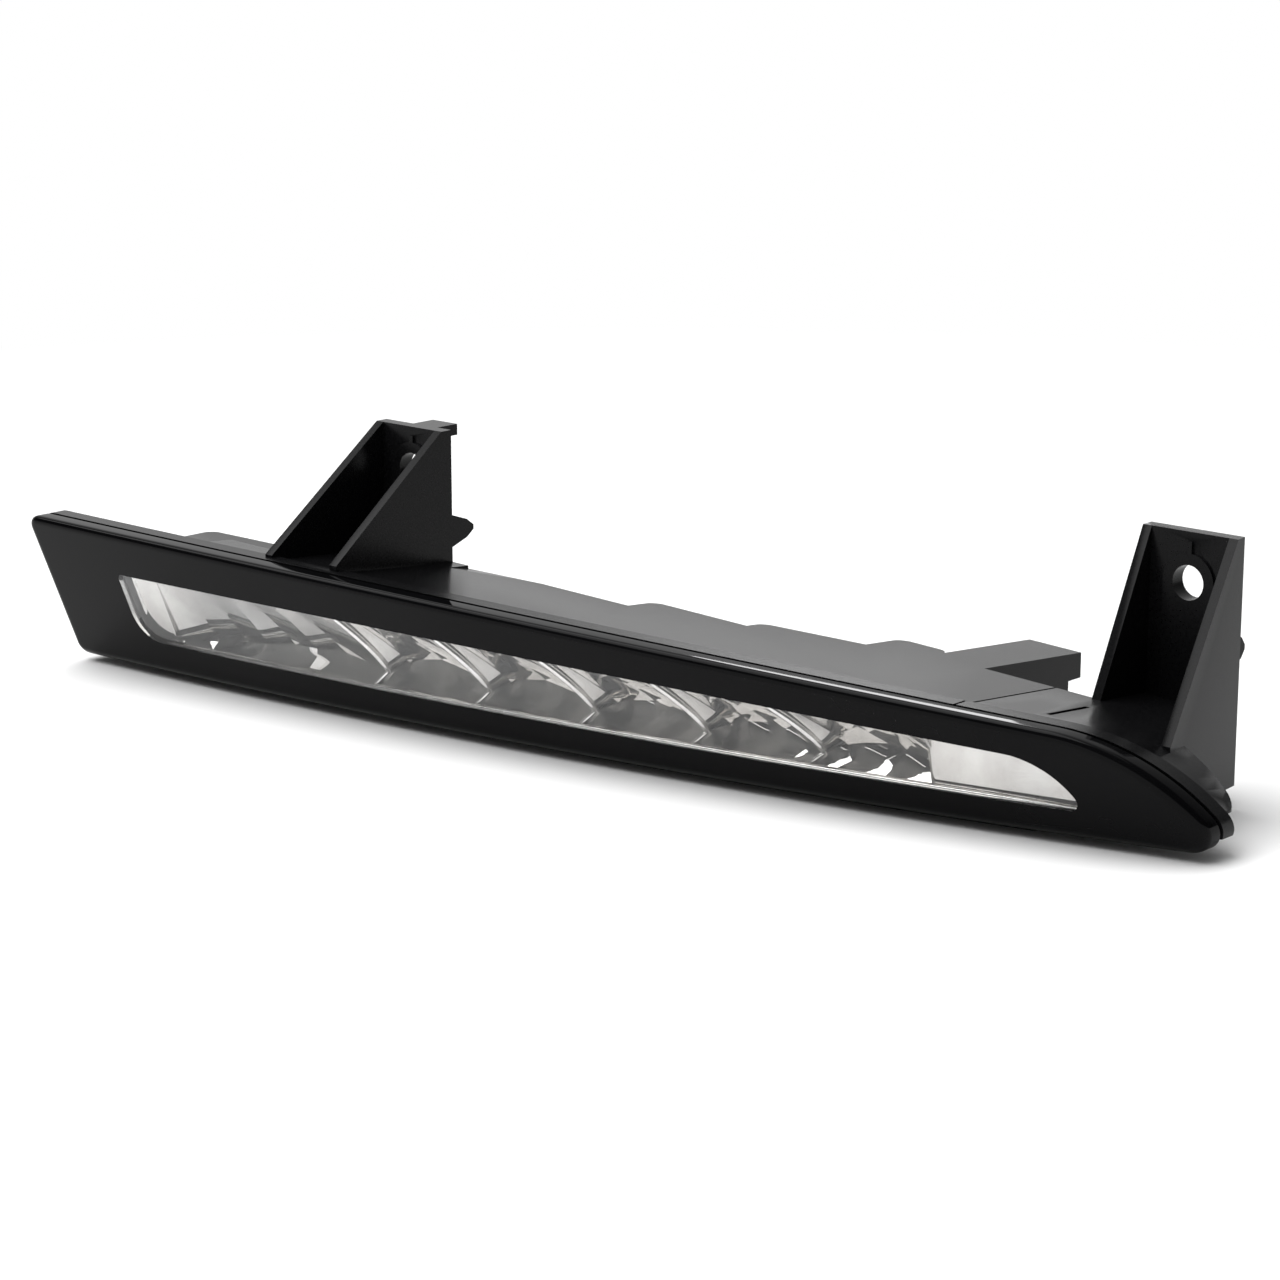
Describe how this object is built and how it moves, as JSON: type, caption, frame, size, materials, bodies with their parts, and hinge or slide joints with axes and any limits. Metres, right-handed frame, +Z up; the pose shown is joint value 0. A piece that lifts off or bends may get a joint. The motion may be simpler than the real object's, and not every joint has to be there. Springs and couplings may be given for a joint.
{
  "type": "led daytime running lamp",
  "caption": "Slim blade-shaped car front lamp with a black lens frame, a clear window over metallised reflector cups, and a moulded housing with screw brackets and a connector hood.",
  "frame": {"origin": "centre of the bottom of the bounding box, on the plane the housing stands on", "axes": "+X along the lens towards its narrow tip, -Y the way the lamp shines, +Z up"},
  "size_m": [0.2971, 0.1128, 0.0636],
  "materials": {
    "black_moulding": "satin black moulded plastic",
    "black_gloss": "polished black plastic",
    "clear_window": "clear hard-coated plastic",
    "seal_rubber": "black rubber",
    "metallised": "bright metallised plastic",
    "board_white": "white solder mask",
    "spreader": "plain aluminium sheet",
    "emitter": "yellow emitter resin",
    "screw_steel": "zinc-plated steel",
    "board_green": "green solder mask",
    "ferrite": "dark ferrite",
    "chip_resin": "black moulded resin",
    "capacitor_can": "aluminium can",
    "contact_metal": "tinned brass",
    "header_plastic": "black moulded plastic",
    "membrane": "white porous membrane"
  },
  "bodies": {
    "root": {"housing": "black_moulding", "lens_frame": "black_gloss", "lens_window": "clear_window", "lens_seal": "seal_rubber", "reflector": "metallised", "led_board": "board_white", "heat_spreader": "spreader", "leds": "emitter", "board_screws": "screw_steel", "driver_board": "board_green", "driver_coil": "ferrite", "driver_chip": "chip_resin", "driver_diode": "chip_resin", "driver_capacitors": "capacitor_can", "driver_resistors": "chip_resin", "link_pins": "contact_metal", "link_header": "header_plastic", "contact_pins": "contact_metal", "vent_membrane": "membrane", "vent_cap": "seal_rubber"}
  },
  "joints": []
}
